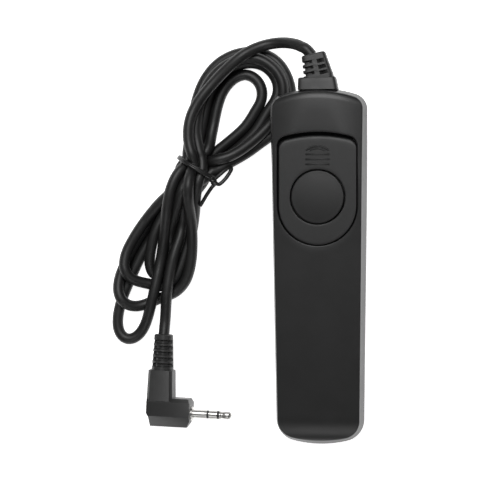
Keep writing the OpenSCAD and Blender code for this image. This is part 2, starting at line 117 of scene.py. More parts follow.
OUTER_LOOP = [(-31, 28, 3.5), (-27.5, 30, 2.5), (-24.5, 31.5, 2), (-21.5, 33.5, 1.5), (-18.5, 35.5, 1.5),
              (-15.5, 38, 1.5), (-13.5, 40.5, 1.5), (-11, 43.5, 1.5), (-9.5, 46.5, 1.5), (-9, 50.5, 1.5),
              (-10, 54, 2), (-11.5, 57, 2.5), (-14, 59.5, 3), (-17, 60.5, 3), (-20.5, 60.5, 3),
              (-24, 60.5, 2), (-28, 59.5, 1.5), (-31, 57.5, 1.5), (-33.5, 54.5, 1.5), (-35, 51.5, 2),
              (-36, 48.5, 3), (-36.5, 45.5, 4.5), (-37, 42, 5), (-37.5, 37.5, 6)]
LOW_LOOP = [(-40, 28, 6.5), (-41, 24.5, 6), (-42, 21.5, 5.5), (-43, 17.5, 5), (-44, 14, 5), (-45, 10, 5),
            (-46, 5.5, 5), (-46.5, 1.5, 6), (-47.5, -2.5, 6.5), (-48, -6, 7), (-49, -9.5, 7),
            (-50, -12.5, 6), (-51.5, -16, 4), (-53, -18.5, 2), (-55.5, -21, 1.5), (-57, -21.5, 1.5),
            (-59, -19.5, 1.5), (-59.5, -15.5, 1.5), (-59, -11.5, 1.5), (-58, -8, 1.5), (-56.5, -4.5, 1.5),
            (-55.5, -1.5, 1.5), (-53.5, 2.5, 1.5), (-51.5, 6, 1.5), (-48.5, 10, 1.5), (-46, 14, 1.5),
            (-44.5, 16, 2)]
MIDDLE_LOOP = [(-31, 29.5, 2), (-28, 31.5, 2), (-24.5, 34, 1.5), (-22, 36.5, 1.5), (-19.5, 39.5, 1.5),
               (-17.5, 42, 1.5), (-15.5, 44, 1.5), (-13.5, 47.5, 1.5), (-12.5, 50.5, 1.5),
               (-13.5, 53.5, 1.5), (-15, 56, 1.5), (-17.5, 58.5, 1.5), (-20, 60, 1.5), (-22, 59, 1.5),
               (-25.5, 57.5, 1.5), (-28.5, 55, 1.5), (-31.5, 51.5, 1.5), (-33, 48, 2.5), (-34.5, 43.5, 3),
               (-35, 38.5, 4), (-35, 33.5, 5)]
SHORT_DROP = [(-42.5, 14.5, 5), (-43.5, 7.5, 3), (-44.5, 1.5, 2), (-45.3, -1.5, 1.5), (-47, -4, 1.5),
              (-48.7, -3, 1.5), (-49.5, -0.5, 1.5), (-49.5, 4.5, 1.5), (-48.5, 9, 1.5), (-47, 12.5, 1.5),
              (-45, 15.5, 2)]
INNER_LOOP = [(-32, 30.5, 2), (-29.5, 33, 2), (-26.5, 35.5, 1.5), (-23.5, 37.5, 1.5), (-21, 40.5, 1.5),
              (-19, 43, 1.5), (-18, 45.5, 1.5), (-17.5, 48, 1.5), (-17.5, 50.5, 1.5), (-19, 53, 1.5),
              (-21, 54.5, 1.5), (-23.5, 55.5, 1.5), (-25.5, 55.5, 1.5), (-27.5, 54, 1.5),
              (-29.5, 51.5, 1.5), (-30.5, 48.5, 1.5), (-31.5, 44.5, 1.5), (-32.5, 40.5, 2.5), (-33, 36, 3),
              (-33, 32, 4), (-34, 28.5, 5)]
TAIL = [(-37.5, 29, 6), (-38.5, 24.5, 3.5), (-40, 20.5, 2), (-40, 17.5, 1.5), (-40.5, 14.5, 1.5),
        (-41.5, 10.5, 1.5), (-42.5, 6, 2.5), (-43, 2.5, 4), (-43.7, -1, 5.5), (-44.2, -4, 6),
        (-44.6, -7, 5.5), (-44.9, -10, 4), (-45.2, -13, 3.4), (-45.5, -16.5, 3.6), (-45.7, -20, 4.2)]
RUNS = [LEAD, OUTER_DROP, UPPER_LOOP, SECOND_DROP, OUTER_LOOP, LOW_LOOP, MIDDLE_LOOP, SHORT_DROP,
        INNER_LOOP, TAIL]
print("points laid by hand:", sum(len(run) for run in RUNS))


# %% Smooth curve through the points
CORD_D = 3.2
STEP = 1.3
CURVE_POINTS = 24


def smooth_route(points, step):
    """Hermite curve through the points, cut into equal steps. The slope at a point is the straight line
    from its neighbour before to its neighbour after, over the distance between them."""
    p = np.asarray(points, float)
    p = np.vstack([2 * p[0] - p[1], p, 2 * p[-1] - p[-2]])
    gap = np.linalg.norm(np.diff(p, axis=0), axis=1)
    slope = (p[2:] - p[:-2]) / (gap[1:] + gap[:-1])[:, None]
    t = np.linspace(0, 1, CURVE_POINTS, endpoint=False)[:, None]
    a, b = p[1:-2, None], p[2:-1, None]
    reach = gap[1:-1, None, None]
    line = ((2 * t**3 - 3 * t**2 + 1) * a + (t**3 - 2 * t**2 + t) * slope[:-1, None] * reach
            + (3 * t**2 - 2 * t**3) * b + (t**3 - t**2) * slope[1:, None] * reach)
    line = np.vstack([line.reshape(-1, 3), p[-2:-1]])
    along = np.r_[0, np.cumsum(np.linalg.norm(np.diff(line, axis=0), axis=1))]
    even = np.linspace(0, along[-1], int(round(along[-1] / step)) + 1)
    return np.stack([np.interp(even, along, line[:, k]) for k in range(3)], axis=1)


laid = smooth_route(np.vstack(RUNS), STEP)
print("cord points:", len(laid))


# %% [markdown]
# The runs cross many times, so the listed line still passes through itself. It is settled as a
# real cord is: small steps let it sink a little, keep its bends round, push apart any two stretches
# closer than its thickness, hold the bundle inside the tie, and keep it on the ground and out of the
# housing. Its length stays the same. A rope simulation by hand is used here and not Blender's own,
# because it gives the same result each run and the crossings stay where they were laid.

# %% Settle the cord
TIE_CENTRE = np.array([-35.7, 28.2, 5.9])
TIE_TURN = np.radians(58.6)
TIE_ALONG = np.array([np.cos(TIE_TURN), np.sin(TIE_TURN), 0])
TIE_ACROSS = np.array([-np.sin(TIE_TURN), np.cos(TIE_TURN), 0])
UP = np.array([0, 0, 1.0])
BUNDLE_R, TIE_REACH = 5.7, 1.6
HOUSING_SIDE, HOUSING_TOP_END = -13.4, 50.3
BACK_SWEEP, LIFT_START = 96.0, 14.0


def lift(y):
    """Height of the housing's back over the ground: a circle of radius 96 that starts at y = 14."""
    return BACK_SWEEP - np.sqrt(BACK_SWEEP**2 - (np.clip(y, LIFT_START, 50) - LIFT_START) ** 2)


CLEAR_UNDER, CLEAR_ASIDE = 0.15, 0.2
PUSH, LIFT_FIRST = 0.25, np.array([0.5, 0.5, 1.6])


def push_apart(p, pairs, gap):
    """Part of what each close pair lacks in distance is added to either point, shared between its pairs, and
    more of it upwards than sideways, because one stretch rides over another before it is pushed aside."""
    a, b = pairs
    between = p[a] - p[b]
    away = np.maximum(np.linalg.norm(between, axis=1), 1e-6)
    close = away < gap
    a, b, between, away = a[close], b[close], between[close], away[close]
    push = (PUSH * (gap - away) / away)[:, None] * between * LIFT_FIRST
    moved, count = np.zeros_like(p), np.zeros(len(p))
    for rows, sign in ((a, 1), (b, -1)):
        np.add.at(moved, rows, sign * push)
        np.add.at(count, rows, 1)
    return moved / np.sqrt(np.maximum(count, 1))[:, None]


def hold_in_tie(p):
    """Points within the tie's reach along the bundle are drawn back inside its ring."""
    rel = p - TIE_CENTRE
    across, high = rel @ TIE_ACROSS, rel[:, 2]
    out = np.hypot(across, high)
    reach = BUNDLE_R - CORD_D / 2
    over = (np.abs(rel @ TIE_ALONG) < TIE_REACH) & (out > reach)
    pull = np.where(over, reach / np.maximum(out, 1e-6) - 1, 0)[:, None]
    return pull * (across[:, None] * TIE_ACROSS + high[:, None] * UP)


def keep_clear(p):
    """The ground is a floor. Beside the housing the cord goes under its lifted back, or moves to the left."""
    r = CORD_D / 2
    under = lift(p[:, 1]) - r - CLEAR_UNDER
    left = HOUSING_SIDE - r - CLEAR_ASIDE
    near = (p[:, 0] > HOUSING_SIDE - r / 2) & (p[:, 1] < HOUSING_TOP_END) & (p[:, 2] > np.maximum(under, r))
    aside = near & ((p[:, 0] - left < p[:, 2] - under) | (under < r - 0.1))
    p[:, 0] = np.where(aside, p[:, 0] - 0.5 * (p[:, 0] - left), p[:, 0])
    p[:, 2] = np.maximum(np.where(near & ~aside, under, p[:, 2]), r)
    return p


def kink(p, reach):
    """How far each point stands off the smooth bend through its neighbours at this reach: the bow is the
    mean of two neighbours minus the point, and the kink is the mean of two neighbours' bows minus its own."""
    def off_mean(v):
        off = np.zeros_like(v)
        off[reach:-reach] = (v[:-2 * reach] + v[2 * reach:]) / 2 - v[reach:-reach]
        return off
    return off_mean(off_mean(p))


# In millimetres: how far the cord sinks in a step, at first and in the last fifth, and how close two
# points have to be to count as near. Then shares: how much of the way home a point goes in a step, and
# how much of its kink goes, at a reach of one point and of two.
SINK, LAST_SINK, NEAR = 0.02, 0.004, 6
HOME_PULL, BENDS = 0.02, ((1, 0.16), (2, 0.1))
# How often a step pushes stretches apart and corrects the spacing of the points, and the share of a
# spacing's error that one correction gives to either point.
PUSHES, CORRECTIONS, SPACING = 4, 3, 0.4


def settle(line, steps):
    """Steps of sinking, bending, pushing apart and keeping the length, on whole arrays of points. Which
    pairs of points are near each other is looked up again every eighth step. The first three points and
    the last four stay where they are, in the strain relief and in the plug."""
    p, home = line.copy(), line.copy()
    link = np.linalg.norm(np.diff(p, axis=0), axis=1).mean()
    free = np.ones((len(p), 1))
    free[:3] = free[-4:] = 0
    apart = np.triu(np.ones((len(p), len(p)), bool), 5)
    for step in range(steps):
        if step % 8 == 0:
            square = (p**2).sum(1)
            near = square[:, None] + square - 2 * p @ p.T < NEAR**2
            pairs = np.nonzero(apart & near)
        p[:, 2] -= free[:, 0] * (SINK if step < 0.8 * steps else LAST_SINK)
        p[:, :2] += HOME_PULL * free * (home - p)[:, :2]
        for reach, share in BENDS:
            p -= share * free * kink(p, reach)
        for _ in range(PUSHES):
            p += free * push_apart(p, pairs, CORD_D)
            p += free * hold_in_tie(p)
            p = np.where(free > 0, keep_clear(p.copy()), p)
        for _ in range(CORRECTIONS):
            span = p[1:] - p[:-1]
            size = np.linalg.norm(span, axis=1)[:, None]
            pull = SPACING * (size - link) / size * span
            p[:-1] += free[:-1] * pull
            p[1:] -= free[1:] * pull
    return p


cord_line = settle(laid, 400)
cord_mm = np.linalg.norm(np.diff(cord_line, axis=0), axis=1).sum()
gaps = np.linalg.norm(cord_line[:, None] - cord_line, axis=2)[np.triu_indices(len(cord_line), 5)]
print("cord length in mm:", round(cord_mm), "closest two stretches:", round(gaps.min(), 2))


# %% [markdown]
# Meshes from grids. The cord and most of the other pieces are skins of rings: a list of closed rings
# of points, with the same number of points in each. Neighbouring rings are joined by quads, and
# either end is closed by a fan. The editor's own tools could sweep and revolve too, but with whole
# arrays each shape is one formula, and its thickness and its fillets are exact.

# %% Meshes from grids of rings
def grid_faces(rows, columns, loop):
    """Quads between neighbouring rings, with every ring closed. A loop also joins the last to the first."""
    r = np.arange(rows if loop else rows - 1)[:, None]
    c = np.arange(columns)
    a, b = r * columns + c, r * columns + (c + 1) % columns
    up = ((r + 1) % rows) * columns
    return np.stack([a, b, up + (c + 1) % columns, up + c], axis=-1).reshape(-1, 4)


def closed_part(rings, loop=False, fans=True):
    """Points and faces of one closed skin of rings. A fan round its middle closes either end, but not
    where the end ring is already pressed flat to a line. Faces are turned over if the volume they enclose
    comes out negative."""
    grid = np.asarray(rings, float)
    rows, columns = grid.shape[:2]
    points, quads = grid.reshape(-1, 3), grid_faces(rows, columns, loop)
    faces = [quads]
    if fans and not loop:
        points = np.vstack([points, grid[0].mean(0), grid[-1].mean(0)])
        c, count = np.arange(columns), rows * columns
        last = count - columns
        faces.append(np.stack([(c + 1) % columns, c, np.full(columns, count)], axis=1))
        faces.append(np.stack([last + c, last + (c + 1) % columns, np.full(columns, count + 1)], axis=1))
    tris = np.vstack([quads[:, [0, 1, 2]], quads[:, [0, 2, 3]], *faces[1:]])
    corner = points[tris]
    volume = (corner[:, 0] * np.cross(corner[:, 1], corner[:, 2])).sum()
    return points, [f[:, ::-1] for f in faces] if volume < 0 else faces


def make_piece(name, parts, slot_name, body="housing", sharp=40):
    """One mesh object of closed skins, in metres, with smooth faces and creases over the sharp angle."""
    points, faces, start = [], [], 0
    for part_points, part_faces in parts:
        faces += [row for f in part_faces for row in (f + start).tolist()]
        points.append(part_points)
        start += len(part_points)
    points = np.vstack(points)
    data = bpy.data.meshes.new(name)
    data.from_pydata((points * MM).tolist(), [], faces)
    data.polygons.foreach_set("use_smooth", np.ones(len(data.polygons), bool))
    data.set_sharp_from_angle(angle=np.radians(sharp))
    data.update()
    obj = bpy.data.objects.new(name, data)
    bpy.context.scene.collection.objects.link(obj)
    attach(obj, body)
    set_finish(obj, slot_name)
    size = np.ptp(points, axis=0).round(1)
    print(f"{name}: {len(data.polygons)} faces, {size[0]} x {size[1]} x {size[2]} mm")
    return obj


def tube_rings(line, radius, sides=14):
    """Circles round a line, square to it. Their sideways direction is the line's own crossed with up."""
    way = np.gradient(line, axis=0)
    way /= np.linalg.norm(way, axis=1)[:, None]
    side = np.cross(way, UP)
    side /= np.linalg.norm(side, axis=1)[:, None]
    top = np.cross(side, way)
    a = np.linspace(0, 2 * np.pi, sides, endpoint=False)[:, None]
    return line[:, None] + radius * (np.cos(a) * side[:, None] + np.sin(a) * top[:, None])


# %% The cord
cord_path = smooth_route(cord_line, STEP / 2)
cord = make_piece("cord", [closed_part(tube_rings(cord_path, CORD_D / 2))], "cord_pvc", sharp=80)
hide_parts("cord_lead", "cord_hank", "cord_tail")


# %% [markdown]
# Materials are written as sums. A shader graph can be wired by hand in the editor, one node at a
# time, but a formula such as 0.4 + 0.1 * grain is easier to read, so one small class stands for an
# output socket and adds a Math node for each operator. Colours go through Mix nodes, because a Math
# node would turn them grey.

# %% Sockets as numbers
class Wire:
    """An output socket of one material's node tree, with arithmetic."""

    def __init__(self, tree, socket):
        self.tree, self.socket = tree, socket

    def node(self, kind, settings=None, **inputs):
        """A new node of this kind. Settings are set first, then inputs by name or by in0, in1, ..."""
        made = self.tree.nodes.new(kind)
        for key, value in (settings or {}).items():
            setattr(made, key, value)
        for key, value in inputs.items():
            slot = made.inputs[int(key[2:])] if key[:2] == "in" and key[2:].isdigit() else made.inputs[key]
            if isinstance(value, Wire):
                self.tree.links.new(value.socket, slot)
            else:
                slot.default_value = value
        return made

    def out(self, kind, settings=None, output=0, **inputs):
        return Wire(self.tree, self.node(kind, settings, **inputs).outputs[output])

    def math(self, operation, a, b=0.0, clamp=False):
        return self.out("ShaderNodeMath", {"operation": operation, "use_clamp": clamp}, in0=a, in1=b)

    def __add__(self, other):
        return self.math("ADD", self, other)

    def __mul__(self, other):
        return self.math("MULTIPLY", self, other)

    def __sub__(self, other):
        return self.math("SUBTRACT", self, other)

    def __rsub__(self, other):
        return self.math("SUBTRACT", other, self)

    __radd__ = __add__
    __rmul__ = __mul__

    def clamp(self):
        return self.math("ADD", self, 0.0, clamp=True)

    def ramp(self, low, high):
        """0 below low, 1 above high, and straight between."""
        ends = {"From Min": low, "From Max": high}
        return self.out("ShaderNodeMapRange", {"clamp": True}, Value=self, **ends)

    def mix(self, first, second):
        """The first colour where this is 0 and the second where it is 1."""
        return self.out("ShaderNodeMix", {"data_type": "RGBA"}, output=2, in0=self, in6=first, in7=second)

    def noise(self, size, detail=3.0, rough=0.5):
        """Noise with features of about this size in millimetres, on coordinates in metres."""
        scale = 1 / (size * MM)
        return self.out("ShaderNodeTexNoise", Vector=self, Scale=scale, Detail=detail, Roughness=rough)

    def bump(self, depth_mm):
        """This height, in units of depth_mm, as a normal."""
        return self.out("ShaderNodeBump", Height=self, Distance=depth_mm * MM, Strength=1.0)


FINISHES = {}


def finish(name, build, **constants):
    """A material whose Principled shader has these constants, and the inputs that build(place) returns,
    where place is the Object coordinates."""
    made = bpy.data.materials.new(name)
    made.use_nodes = True
    tree = made.node_tree
    shader = next(n for n in tree.nodes if n.type == "BSDF_PRINCIPLED")
    for key, value in constants.items():
        shader.inputs[key.replace("_", " ")].default_value = value
    coordinates = tree.nodes.new("ShaderNodeTexCoord")
    for key, value in build(Wire(tree, coordinates.outputs["Object"])).items():
        tree.links.new(value.socket, shader.inputs[key.replace("_", " ")])
    FINISHES[name] = made


def rgb(level, tint=(1, 1, 1)):
    """A colour of this brightness, in linear light, with a tint."""
    return (level * tint[0], level * tint[1], level * tint[2], 1)


# %% [markdown]
# The plastics and the cord. The housing is moulded in black ABS with a fine satin grain: tiny round
# pits that spread the highlights, with faint wear and dust in the gloss. The slider and the button
# have the same grain, a little finer. The cord is smooth PVC, so it gets broad faint waves and a
# stronger highlight. Each is a base colour, a roughness and a bump worked out from noise, because
# noise needs no picture and has the same size everywhere.

# %% Plastics
def moulded(level, gloss, grain_mm, depth_mm, dust=0.35):
    """Satin moulded plastic: fine pits, soft patches in its gloss, and a little grey dust in scattered
    specks.
    """
    def build(place):
        grain = place.noise(grain_mm, 2.0, 0.6)
        patch = place.noise(9, 4.0, 0.55)
        specks = place.noise(0.9, 3.0, 0.5).ramp(0.66, 0.8)
        scuff = place.noise(2.6, 5.0, 0.7).ramp(0.56, 0.74)
        shade = (patch * 0.6 + grain * 0.4).mix(rgb(level * 0.86), rgb(level * 1.16, (1, 1, 1.02)))
        return {
            "Base_Color": (specks * dust).mix(shade, rgb(level * 1.9, (1, 0.99, 0.97))),
            "Roughness": (gloss + 0.09 * (patch - 0.5) + 0.05 * scuff + 0.05 * (grain - 0.5)).clamp(),
            "Normal": (grain * 0.7 + place.noise(grain_mm * 2.6, 2.0) * 0.3).bump(depth_mm),
        }
    return build


def soft_pvc(level, gloss, ripple=0.012):
    """Flexible PVC: smooth, with slow ripples from the die, and a faint bloom."""
    def build(place):
        slow = place.noise(5, 3.0)
        fine = place.noise(0.35, 2.0)
        bloom = place.noise(14, 4.0, 0.6).ramp(0.45, 0.75)
        return {
            "Base_Color": bloom.mix(rgb(level * 0.85), rgb(level * 1.3)),
            "Roughness": (gloss + 0.1 * (slow - 0.5) + 0.06 * bloom).clamp(),
            "Normal": (slow * 0.8 + fine * 0.2).bump(ripple),
        }
    return build


finish("housing_plastic", moulded(0.011, 0.39, 0.16, 0.008), IOR=1.5)
finish("slider_plastic", moulded(0.011, 0.42, 0.14, 0.007), IOR=1.44)
finish("button_plastic", moulded(0.01, 0.41, 0.12, 0.006), IOR=1.42)
finish("block_plastic", moulded(0.62, 0.5, 0.3, 0.004, 0.2), IOR=1.5)
finish("cord_pvc", soft_pvc(0.009, 0.47), IOR=1.52)
finish("relief_pvc", soft_pvc(0.019, 0.45), IOR=1.5)
finish("plug_pvc", soft_pvc(0.031, 0.42, 0.02), IOR=1.5)
finish("tie_plastic", soft_pvc(0.013, 0.36), IOR=1.5)
finish("insulator", soft_pvc(0.018, 0.35, 0.004), IOR=1.5)
print("finishes so far:", ", ".join(FINISHES))


# %% [markdown]
# The floor and the light. A white sheet of paper lies under the object. Large soft lamps over the
# cord end and over both sides leave almost no shadow, and the lamp over the cord end is the
# brightest, so the surfaces that lean that way are lighter, as the slope of the housing shows.

# %% Floor and lights
def paper_sheet(half_width):
    """A flat square on the ground, far wider than the view."""
    corners = half_width * np.array([(-1, -1, 0), (1, -1, 0), (1, 1, 0), (-1, 1, 0)], float)
    data = bpy.data.meshes.new("floor")
    data.from_pydata(corners.tolist(), [], [(0, 1, 2, 3)])
    obj = bpy.data.objects.new("floor", data)
    bpy.context.scene.collection.objects.link(obj)
    return obj


LAMP_AIM = (-22, 10, 5)


def lamp(name, place, size, power):
    """A square soft lamp, in millimetres, turned towards the aim of all lamps."""
    data = bpy.data.lights.new(name, "AREA")
    data.shape, data.size, data.energy = "SQUARE", size * MM, power
    obj = bpy.data.objects.new(name, data)
    bpy.context.scene.collection.objects.link(obj)
    way = np.subtract(place, LAMP_AIM)
    lean = np.arctan2(np.hypot(way[0], way[1]), way[2])
    obj.location = MM * np.array(place, float)
    obj.rotation_euler = (lean, 0, np.arctan2(way[1], way[0]) + np.pi / 2)
    return obj


floor = paper_sheet(1.5)
floor.location.z = -0.0001
paper = bpy.data.materials.new("paper")
paper.use_nodes = True
paper_shader = next(n for n in paper.node_tree.nodes if n.type == "BSDF_PRINCIPLED")
paper_shader.inputs["Base Color"].default_value = (0.95, 0.95, 0.95, 1)
paper_shader.inputs["Roughness"].default_value = 0.9
paper_shader.inputs["Emission Color"].default_value = (1, 1, 1, 1)
paper_shader.inputs["Emission Strength"].default_value = 0.92
floor.data.materials.append(paper)
sky = bpy.data.worlds.new("studio")
sky.use_nodes = True
sky.node_tree.nodes["Background"].inputs["Color"].default_value = (1, 1, 1, 1)
sky.node_tree.nodes["Background"].inputs["Strength"].default_value = 0.06
bpy.context.scene.world = sky
bpy.context.scene.view_settings.view_transform = "Standard"
for light in (
    lamp("far_lamp", (-20, 330, 690), 380, 3.5),
    lamp("left_lamp", (-560, 60, 480), 360, 0.2),
    lamp("right_lamp", (560, 0, 460), 360, 0.25),
    lamp("near_lamp", (-20, -560, 520), 360, 0.9),
):
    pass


# %% [markdown]
# The housing's two mouldings. Seen from the front the housing is a long rounded tongue: a wide arc
# at either end, rounded corners, and sides that taper to the tail. Its front rises towards the cord
# end and is crowned there. Box modelling with bevels would give it, but the fillets would change
# with every edit. Here each moulding is one closed sheet of rings: every ring follows the outline,
# moved in along its normals, and a formula gives its height. The sheet runs over the outside, down
# into the slider's pocket, through the opening, and back along the inside, so it has real walls. The
# walls flare a little from the top to the parting line, as a moulding's must to leave its mould. The
# doorway for the cord and the wells for the screws cross many rings, so a Boolean cuts them at the end.

# %% Outline of the housing
ARC_POINTS, CORNER_POINTS, SIDE_POINTS = 26, 12, 64


def end_curve(apex, big, small, half_width, inset):
    """Points and outward directions of one end of an outline, from its middle out to the half width:
    a wide arc of radius big whose highest point is the apex, then a corner of radius small."""
    middle = np.array([0, apex - big])
    if big - small < 1e-6:
        corner, turn = middle, np.pi / 6
    else:
        corner = np.array([half_width - small, middle[1]])
        corner[1] += np.sqrt((big - small) ** 2 - corner[0] ** 2)
        turn = np.arctan2(corner[1] - middle[1], corner[0])
    angle = np.r_[np.linspace(np.pi / 2, turn, ARC_POINTS), np.linspace(turn, 0, CORNER_POINTS)[1:]]
    way = np.stack([np.cos(angle), np.sin(angle)], axis=1)
    first = np.arange(len(angle)) < ARC_POINTS
    return np.where(first[:, None], middle + (big - inset) * way, corner + (small - inset) * way)


def outline(head, tail, inset=0.0):
    """A closed outline, clockwise from the middle of its cord end. Head and tail are (apex, big, small, half
    width); the tail's apex is counted towards -Y, and straight sides join the two."""
    right_head = end_curve(*head, inset)
    right_tail = end_curve(*tail, inset)[::-1] * (1, -1)
    t = np.linspace(0, 1, SIDE_POINTS)[1:-1, None]
    right = np.vstack([right_head, (1 - t) * right_head[-1] + t * right_tail[0], right_tail])
    return np.vstack([right, right[-2:0:-1] * (-1, 1)])


HALF = 50.0
FLARE, DRAFT = 0.35, 0.55
HEAD = (HALF, 34.4, 4.2, 13.4)
TAIL_END = (HALF, 31.6, 6.0, 12.2)
PLATE_NEAR, PLATE_HALF = 17.3, 11.1


def housing_outline(inset):
    return outline(HEAD, TAIL_END, inset)


def plate_outline(apex, grow):
    """The slider's plate seen from the front: a wide arc towards the cord, a half circle round the button."""
    round_end = (PLATE_HALF - PLATE_NEAR, PLATE_HALF, PLATE_HALF, PLATE_HALF)
    return outline((apex, 36.0, 2.8, PLATE_HALF), round_end, -grow)


print("points round the housing:", len(housing_outline(0)), len(plate_outline(37.4, 0)))


# %% Heights of the housing
PLATE_TOP, HOOD_HEIGHT, TAIL_HEIGHT = 14.4, 16.9, 12.3
WALL = 1.6


def quarter(x, reach, drop):
    """Drop of a quarter ellipse: none at x = 0, all of the drop at x = reach."""
    return drop * (1 - np.sqrt(np.clip(1 - np.clip(x / reach, 0, 1) ** 2, 0, 1)))


def front_height(x, y):
    """Height of the front: straight slopes up to the hood, round ends, and the hood's crown of radius 60."""
    def slope(at):
        return np.interp(at, [-42, 6, 38.4, 45.5], [TAIL_HEIGHT, PLATE_TOP, 16.6, HOOD_HEIGHT])
    spine = (slope(y - 1) + slope(y) + slope(y + 1)) / 3
    crown = HOOD_HEIGHT + 0.04 - (60 - np.sqrt(60**2 - x**2))
    crest = (spine + crown - np.sqrt((spine - crown) ** 2 + 0.02)) / 2
    return crest - quarter(-42 - y, 8, 4.6) - quarter(y + x**2 / 69 - 47.2, 2.8, 1.7)


def split(y):
    """Height of the parting line."""
    return 6.5 + (11.3 - 6.5) * (y + HALF) / (2 * HALF)


def back_height(y):
    """Height of the back's underside: flat, lifted towards the cord, and round at the tail."""
    return lift(y) + quarter(-45 - y, 5, 4.2) + quarter(y - 48.8, 1.2, 1.6)


def ring(flat, z):
    """An outline's points at the heights z, which may be one number."""
    return np.c_[flat, np.broadcast_to(z, len(flat))]


def blend_rings(first, last, shares):
    """Rings between two outlines, at these shares of the way."""
    return [(1 - s) * first + s * last for s in shares]


# %% Front shell
POCKET_FLOOR, LEDGE, HOOD_UNDER, HOOD_EDGE, POCKET_END = 12.6, 1.0, 14.9, 37.65, 41.8
OPENING_FAR, OPENING_NEAR, OPENING_HALF, OPENING_R, NO_ARC = 34.2, 10.4, 9.2, 0.8, 2000
PLATE_GAP, SEAM = 0.22, 0.16
TAIL_SCREW, HEAD_SCREW, POST_R = -40, 39.5, 2.8
EDGE_IN, EDGE_DROP, LIP = 0.35, 0.4, 0.3
QUARTER_TURN = np.linspace(0, np.pi / 2, 8)
# Shares of the way over a face, closer together near its edge, where it curves most.
FACE_STEPS = (np.arange(1, 44) / 44) ** 1.5


def front_skin():
    """Rings of the front moulding, from the parting line over the front, down the pocket and back inside."""
    edge, shoulder = housing_outline(-FLARE), housing_outline(DRAFT)
    y = edge[:, 1]
    low = split(y) + SEAM
    rings = [ring(housing_outline(SEAM - FLARE), split(y)), ring(edge, low)]
    top = front_height(shoulder[:, 0], shoulder[:, 1]) - EDGE_DROP
    rings += blend_rings(rings[-1], ring(shoulder, top), (0.33, 0.66))
    for a in QUARTER_TURN:
        flat = housing_outline(DRAFT + EDGE_IN * (1 - np.cos(a)))
        rings.append(ring(flat, front_height(flat[:, 0], flat[:, 1]) - EDGE_DROP * (1 - np.sin(a))))
    lip = plate_outline(HOOD_EDGE, PLATE_GAP + LIP)
    for flat in blend_rings(housing_outline(DRAFT + EDGE_IN), lip, FACE_STEPS):
        rings.append(ring(flat, front_height(flat[:, 0], flat[:, 1])))
    for a in QUARTER_TURN:
        flat = plate_outline(HOOD_EDGE, PLATE_GAP + LIP * (1 - np.sin(a)))
        rings.append(ring(flat, front_height(flat[:, 0], flat[:, 1]) - LIP * (1 - np.cos(a))))
    wall_top = plate_outline(HOOD_EDGE, PLATE_GAP)
    under = np.minimum(HOOD_UNDER, front_height(wall_top[:, 0], wall_top[:, 1]) - 0.5)
    rings.append(ring(wall_top, under))
    wall_end = plate_outline(POCKET_END, PLATE_GAP)
    rings += [ring(wall_end, under - 0.06), ring(wall_end, POCKET_FLOOR + 0.1),
              ring(plate_outline(POCKET_END, PLATE_GAP - 0.1), POCKET_FLOOR)]
    opening = outline((OPENING_FAR, NO_ARC, OPENING_R, OPENING_HALF),
                      (-OPENING_NEAR, NO_ARC, OPENING_R, OPENING_HALF))
    rings += [ring(f, POCKET_FLOOR) for f in blend_rings(plate_outline(POCKET_END, 0), opening, (0.3, 0.7))]
    rings += [ring(opening, POCKET_FLOOR), ring(opening, POCKET_FLOOR - LEDGE)]
    room = housing_outline(WALL)
    for s in np.linspace(0, 1, 18)[1:]:
        flat = (1 - s) * opening + s * room
        rings.append(ring(flat, inner_height(flat[:, 1])))
    rings.append(ring(room, split(room[:, 1])))
    return rings


def inner_height(y):
    """Height of the room's ceiling: it follows the front's slope, and steps up under the hood's end."""
    ceiling = np.interp(y, [-48.4, -46, -42, 3.8, 43.4, 43.9, 48.4], [7.7, 9.7, 10.7, 11.6, 11.6, 14.6, 14.3])
    return np.minimum(ceiling, split(y) + 5)


def rod(centre, radius, low, high):
    """An upright cylinder, as two circles."""
    a = np.linspace(0, 2 * np.pi, 48, endpoint=False)
    flat = np.array(centre) + radius * np.stack([np.cos(a), np.sin(a)], axis=1)
    return [ring(flat, low), ring(flat, high)]


def brick(x, y, z, k=0.1):
    """A box whose edges are all cut off by k, as four rings of eight points: the two end rings are drawn
    in by k, and the two between them have the full size."""
    def eight(shrink):
        a, b = x[0] + shrink, x[1] - shrink
        c, d = y[0] + shrink, y[1] - shrink
        near, far = [(a + k, c), (b - k, c), (b, c + k)], [(b, d - k), (b - k, d), (a + k, d)]
        return np.array([*near, *far, (a, d - k), (a, c + k)])
    return [ring(eight(k), z[0]), ring(eight(0), z[0] + k), ring(eight(0), z[1] - k), ring(eight(k), z[1])]


def cut_away(part, tools):
    """A closed part with other closed parts taken away from it, by Blender's exact Boolean. Points that
    lie on each other are merged first, which closes a skin that ends on a line."""
    shapes = []
    for points, faces in (part, *tools):
        data = bpy.data.meshes.new("uncut")
        data.from_pydata(points.tolist(), [], [row for f in faces for row in f.tolist()])
        shape = bmesh.new()
        shape.from_mesh(data)
        bmesh.ops.remove_doubles(shape, verts=shape.verts, dist=1e-4)
        shape.to_mesh(data)
        shape.free()
        shapes.append(bpy.data.objects.new("uncut", data))
        bpy.context.scene.collection.objects.link(shapes[-1])
    for tool in shapes[1:]:
        step = shapes[0].modifiers.new("cut", "BOOLEAN")
        step.solver, step.object = "EXACT", tool
    result = shapes[0].evaluated_get(bpy.context.evaluated_depsgraph_get()).to_mesh()
    points = np.array([v.co for v in result.vertices])
    faces = [np.array([f.vertices]) for f in result.polygons]
    for shape in shapes:
        bpy.data.meshes.remove(shape.data)
    return points, faces


